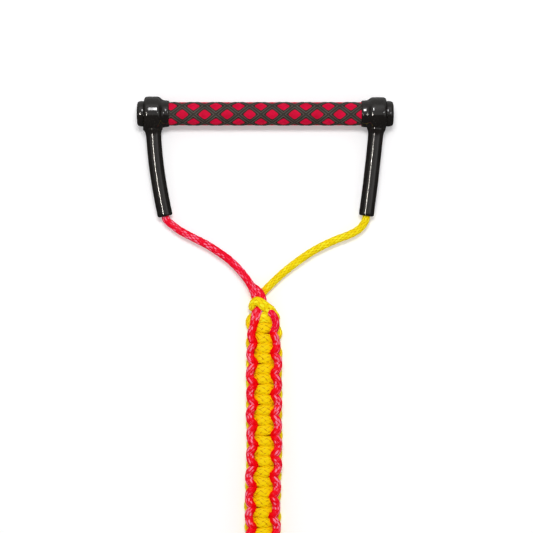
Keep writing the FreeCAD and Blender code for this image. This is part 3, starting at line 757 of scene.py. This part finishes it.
def grip_material(half_length):
    """Red diamonds in a black lattice, computed from place so that its edges stay crisp."""
    material, graph = new_material("grip_lattice")
    place = graph.coordinate()
    x, y, z = graph.separate(place)
    angle = graph.math("ARCTAN2", y * -1.0, z)       # 0 at the top, growing towards -Y
    rising, falling, centre = diamonds(x, angle, unit=MM)
    wobble = graph.noise(place, scale=160.0, detail=2.0, roughness=0.5)
    centre = centre + wobble.scaled(by=0.010, plus=-0.005)
    end_band = graph.smooth(abs(x), low=half_length - 0.0006, high=half_length + 0.0004)
    black = graph.math("MAXIMUM", graph.smooth(centre, low=0.300, high=0.318), end_band)
    grain = graph.noise(place, scale=1500.0, detail=3.0, roughness=0.6)
    blotch = graph.noise(place, scale=90.0, detail=3.0, roughness=0.55)
    red = graph.ramp(blotch * 0.7 + grain * 0.3, [
        (0.30, srgb(186, 0, 44)), (0.55, srgb(208, 0, 54)), (0.75, srgb(222, 6, 62))])
    # the black bands: lighter crowns on the ridges, dark at their edges
    near = graph.math("MINIMUM", 0.5 - rising, 0.5 - falling)
    ridge = graph.smooth(abs(near - 0.085), low=0.055, high=0.010)
    spine = graph.smooth(near, low=0.022, high=0.004)
    crown = graph.math("MAXIMUM", ridge * 0.75, spine * 0.4)
    crown_tone = crown * blotch.scaled(by=0.9, plus=0.25)
    band = graph.mix(crown_tone, srgb(41, 37, 33), srgb(106, 98, 91))
    band = graph.mix(graph.smooth(grain, low=0.62, high=0.80), band, srgb(66, 60, 57))
    red_roughness = grain.scaled(by=0.12, plus=0.62)
    black_roughness = grain.scaled(by=0.22, plus=0.36)
    ridges = graph.bump(crown * 0.8 + black * 0.4, strength=0.6, distance=0.0005)
    graph.surface({
        "Base Color": graph.mix(black, red, band),
        "Roughness": red_roughness * (1.0 - black) + black_roughness * black,
        "IOR": 1.25,
        "Specular IOR Level": 0.25,
        "Normal": graph.bump(grain, strength=0.35, distance=0.00016, normal=ridges)})
    return material


def grip():
    """Raised lattice over red foam, as one sleeve."""
    around, along = 208, 440
    lo, hi = box_mm("grip_net")
    start, end, net_radius = lo[0], hi[0], hi[2]
    foam_radius = box_mm("grip_foam")[1][2]
    angle, x = np.meshgrid(circle_angles(around), np.linspace(start, end, along))
    rising, falling, centre = diamonds(x, angle)
    raised = smooth_step(centre, 0.285, 0.335)
    near = np.minimum(0.5 - rising, 0.5 - falling)
    ridge = np.exp(-((near - 0.10) / 0.030) ** 2) * 0.22
    groove = np.exp(-((near - 0.035) / 0.028) ** 2) * -0.16
    pillow = (1 - np.clip(centre / 0.3, 0, 1) ** 2) * 0.28
    radius = foam_radius + raised * (net_radius - 0.22 - foam_radius)
    radius = radius + raised * (ridge + groove) + (1 - raised) * pillow
    edge = np.clip(np.minimum(x - start, end - x) / GRIP_EDGE, 0, 1)
    radius = radius - (1 - edge) ** 2 * 0.9
    rings = np.stack([x, -radius * np.sin(angle), radius * np.cos(angle)], -1)
    sleeve = tube_mesh("grip_sleeve", rings[:, ::-1], grip_material((end - GRIP_EDGE) * MM))
    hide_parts("grip_net", "grip_foam")
    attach(sleeve, "handle")


grip()

# ---------------------------------------------------------------- end boots and caps
# All outlines are (distance from the bar's middle, radius), turned about the bar.
# outer skin of the collar, soft shoulder and boss
BOOT_SKIN = [
    (113.75, 14.32), (113.8, 14.7), (114.05, 15.1), (114.7, 15.45), (115.8, 15.7),
    (117.4, 15.88), (119.0, 16.05), (120.5, 16.35), (121.8, 16.95), (123.0, 17.85),
    (124.1, 18.85), (125.2, 19.65), (126.3, 20.1), (127.4, 20.32), (128.6, 20.38),
    (131.0, 20.4), (134.0, 20.4), (137.0, 20.4), (139.0, 20.36), (140.4, 20.15),
    (141.6, 19.65), (142.5, 18.85), (143.05, 17.8), (143.3, 16.5), (143.35, 15.0)]
# back along the seats on the tube and the grip
BOOT_SEAT = [
    (143.3, 13.0), (143.25, 11.6), (143.1, 11.15), (140.0, 11.1), (132.0, 11.1), (124.0, 11.1),
    (122.9, 11.15), (122.7, 11.6), (122.65, 13.4), (122.5, 14.15), (121.0, 14.2),
    (117.0, 14.2), (114.2, 14.2)]
# rounded rim, shallow dished face with a raised ring
CAP_OUTLINE = [
    (142.7, 9.6), (142.9, 13.4), (143.3, 14.5), (144.2, 15.0), (146.0, 15.1), (148.2, 14.9),
    (149.8, 14.4), (150.9, 13.5), (151.5, 12.4), (151.75, 11.2), (151.8, 9.8), (151.65, 8.9),
    (151.3, 8.3), (151.15, 7.4), (151.15, 4.2), (151.2, 2.2), (151.45, 1.7), (151.5, 0.9),
    (151.5, 0.25)]
# inside the guard's mouth: (depth behind the end, radius)
MOUTH_BORE = [(0.0, 6.6), (0.02, 6.0), (0.2, 5.45), (0.6, 5.1), (1.2, 4.95), (3.0, 4.9),
              (9.0, 4.9), (16.0, 4.88)]
GUARD_RADIUS = 8.92
GUARD_STEP = 0.9
GUARD_LIP = 2.1                      # rounding radius of the mouth
ROOT_FLARE = {-1: 1.3, 1: 0.2}       # extra flare at the guard's root, on its outer side


def smooth_outline(outline, step):
    return spline([(x, radius, 0) for x, radius in outline], step)[:, :2]


def turned(outline, side, around):
    """Rings of a body turned about the bar."""
    angle = circle_angles(around)
    rings = np.array([np.stack([np.full(around, side * x), radius * np.cos(angle),
                                radius * np.sin(angle)], 1) for x, radius in outline])
    return rings if side < 0 else rings[:, ::-1]


def guard_rings(side):
    """Swept guard: down the outside, round the lip and back up the rope's bore."""
    line = spline(guard_line(side), GUARD_STEP)
    mouth_y = box_mm("end_boot_" + SIDE_NAMES[side])[0][1] + 1.2
    onward = line[-1] - line[-6]
    onward /= np.linalg.norm(onward)
    run = (line[-1][1] - mouth_y) / -onward[1]
    added = np.append(np.arange(GUARD_STEP, run, GUARD_STEP), run)
    line = np.vstack([line, line[-1] + onward * added[:, None]])
    tangent = tangents(line)
    normal = np.array([[0, 0, 1.0]]) - tangent * tangent[:, 2:3]
    normal /= np.linalg.norm(normal, axis=1)[:, None]
    binormal = np.cross(tangent, normal)
    travelled = arc_lengths(line)
    to_mouth = travelled[-1] - travelled
    flare = np.exp(-np.clip(-line[:, 1] - 18.6, 0, 99) / 2.6)
    swell = 0.10 * np.exp(-((to_mouth - 4.5) / 2.5) ** 2)
    radius = GUARD_RADIUS + 2.0 * flare + swell
    angle = circle_angles(96)
    cosine, sine = np.cos(angle)[:, None], np.sin(angle)[:, None]
    sideways = side * binormal[:, 0:1] * np.sin(angle)[None, :]
    inner, outer = np.clip(-sideways, 0, 1) ** 2, np.clip(sideways, 0, 1) ** 2
    radii = radius[:, None] + flare[:, None] * (0.2 * inner + ROOT_FLARE[side] * outer)
    rings = [line[i] + radii[i][:, None] * (normal[i] * cosine + binormal[i] * sine)
             for i in np.nonzero(to_mouth > GUARD_LIP)[0]]
    lip = [(GUARD_LIP - GUARD_LIP * math.sin(turn),
            radius[-1] - GUARD_LIP + GUARD_LIP * math.cos(turn))
           for turn in np.radians((0, 15, 30, 45, 60, 75, 90))]
    rings += [line[-1] - onward * depth + size * (normal[-1] * cosine + binormal[-1] * sine)
              for depth, size in lip + MOUTH_BORE]
    return np.array(rings)


def join_rings(name, parts, material):
    """One mesh from (rings, closed) parts; open ones get a fan over each end."""
    solid = bmesh.new()
    for rings, closed in parts:
        count, around, _ = rings.shape
        verts = [[solid.verts.new(tuple(point)) for point in ring] for ring in rings * MM]
        for i in range(count if closed else count - 1):
            here, after = verts[i], verts[(i + 1) % count]
            for k in range(around):
                solid.faces.new((here[k], here[k - 1], after[k - 1], after[k]))
        if closed:
            continue
        for ring, flip in ((verts[0], False), (verts[-1], True)):
            centre = solid.verts.new(tuple(sum((v.co for v in ring), Vector()) / around))
            for k in range(around):
                pair = (ring[k], ring[k - 1]) if flip else (ring[k - 1], ring[k])
                solid.faces.new((*pair, centre))
    bmesh.ops.recalc_face_normals(solid, faces=solid.faces)
    mesh = bpy.data.meshes.new(name)
    solid.to_mesh(mesh)
    solid.free()
    return finish_mesh(mesh, material)


def fit_to_handle(thing, node):
    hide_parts(node)
    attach(thing, "handle")


def boot(side):
    skin = BOOT_SKIN
    if side > 0:                                     # the right boss is a little slimmer
        skin = [(x, radius - 0.75 * min(max((radius - 16.2) / 3.4, 0.0), 1.0))
                for x, radius in skin]
    outline = smooth_outline(skin, 0.30).tolist() + BOOT_SEAT
    parts = [(turned(outline, side, 128), True), (guard_rings(side), False)]
    fit_to_handle(join_rings("boot_" + SIDE_NAMES[side], parts, BOOT),
                  "end_boot_" + SIDE_NAMES[side])


def cap(side):
    rings = turned(smooth_outline(CAP_OUTLINE, 0.35), side, 112)
    fit_to_handle(tube_mesh("cap_" + SIDE_NAMES[side], rings, BOOT),
                  "end_cap_" + SIDE_NAMES[side])


for build in (boot, cap):
    for side in SIDE_NAMES:
        build(side)


# ---------------------------------------------------------------- finishes of the hidden nodes
def tube_material():
    material, graph = new_material("tube_aluminium")
    x, y, z = graph.separate(graph.coordinate())
    brushed = graph.noise(graph.combine(x * 40.0, y * 1800.0, z * 1800.0), scale=1.0)
    graph.surface({
        "Metallic": 1.0,
        "Base Color": graph.ramp(brushed, [(0.3, srgb(170, 172, 176)),
                                           (0.7, srgb(214, 215, 218))]),
        "Roughness": brushed.scaled(by=0.2, plus=0.25),
        "Normal": graph.bump(brushed, strength=0.2, distance=0.0001)})
    return material


def foam_material():
    material, graph = new_material("float_foam_cells")
    cells = graph.fill(graph.node("TexVoronoi"),
                       {"Scale": 900.0, "Vector": graph.coordinate()}, "Distance")
    graph.surface({
        "Base Color": graph.ramp(cells, [(0.0, srgb(236, 236, 230)), (0.8, srgb(205, 205, 196))]),
        "Roughness": 0.85,
        "Normal": graph.bump(cells, strength=0.4, distance=0.0003)})
    return material


for node, material in (("handle_tube", tube_material()), ("float_core", foam_material())):
    slots = frame["nodes"][node].data.materials
    if not slots:
        slots.append(material)
    for i in range(len(slots)):
        slots[i] = material


# ---------------------------------------------------------------- floor and world
def floor():
    bpy.ops.mesh.primitive_plane_add(size=6.0, location=(0, -0.2, (FLOOR_Z - 0.4) * MM))
    sheet = bpy.context.object
    sheet.name = "floor"
    material, graph = new_material("floor_paper")
    graph.surface({
        "Base Color": (0.90, 0.895, 0.90),
        "Roughness": 0.9,
        "Specular IOR Level": 0.0,
        "Emission Color": (1, 1, 1),
        "Emission Strength": 0.20})
    sheet.data.materials.append(material)
    sheet.visible_glossy = False


def studio_world():
    """Even light on surfaces, but a shaped dome in mirror reflections."""
    diffuse_level = 0.52
    world = bpy.data.worlds.new("studio")
    scene.world = world
    world.use_nodes = True
    graph = Graph(world.node_tree)
    _, y, z = graph.separate(graph.coordinate("Generated"))
    dome = graph.smooth(z, low=0.30, high=0.72) * graph.smooth(y, low=-0.26, high=-0.13)
    mirror = dome.scaled(by=0.62, plus=0.04)
    mirror = mirror + graph.smooth(y, low=0.35, high=0.75) * 0.42
    glossy = graph.fill(graph.node("LightPath"), {}, "Is Glossy Ray")
    level = mirror * glossy + (1.0 - glossy) * diffuse_level
    graph.fill(world.node_tree.nodes["Background"], {0: (1, 1, 1), 1: level})


floor()
studio_world()


# ---------------------------------------------------------------- lights and camera
def area_light(name, place, target, size, power, color=(1, 1, 1)):
    """A rectangular light facing its target; size is (width, height), height towards +Y."""
    data = bpy.data.lights.new(name, "AREA")
    data.energy = power
    data.color = color
    data.shape = "RECTANGLE"
    data.size, data.size_y = size
    light = bpy.data.objects.new(name, data)
    light.location = place
    back = (Vector(place) - Vector(target)).normalized()
    up = (Vector((0, 1, 0)) - back * back.y).normalized()
    light.rotation_euler = Matrix((up.cross(back), up, back)).transposed().to_euler()
    scene.collection.objects.link(light)
    return light


highlights = [
    area_light("key_softbox", place=(-0.06, 0.80, 1.45), target=(-0.06, 0.0, 0.0),
               size=(0.32, 0.50), power=15.5),
    area_light("strip", place=(-0.58, -0.16, 1.5), target=(-0.1, -0.16, 0.0),
               size=(0.032, 0.62), power=13.5, color=(1.0, 0.95, 0.87)),
    area_light("side_panel", place=(1.55, -0.1, 1.35), target=(0.0, -0.1, 0.0),
               size=(1.0, 1.3), power=1.6),
    area_light("glint", place=(0.62, 0.15, 1.5), target=(0.0, -0.05, 0.0),
               size=(0.10, 0.10), power=2.6)]
for light in highlights:
    light.visible_diffuse = False
top = area_light("top_bank", place=(0.0, 0.46, 2.0), target=(0.0, -0.2, 0.0),
                 size=(0.60, 0.34), power=23.0)
top.visible_glossy = False

CAMERA_HEIGHT = 2.6
VIEW_WIDTH = 0.6327                  # width in view, 4 mm below the origin
SENSOR = 36.0
camera_data = bpy.data.cameras.new("camera")
camera = bpy.data.objects.new("camera", camera_data)
scene.collection.objects.link(camera)
scene.camera = camera
camera.location = (0.0015, -0.1810, CAMERA_HEIGHT)
camera.rotation_euler = (0, 0, 0)
camera_data.sensor_width = SENSOR
camera_data.lens = SENSOR * (CAMERA_HEIGHT + 0.004) / VIEW_WIDTH
camera_data.clip_end = 20.0
scene.view_settings.view_transform = "Standard"
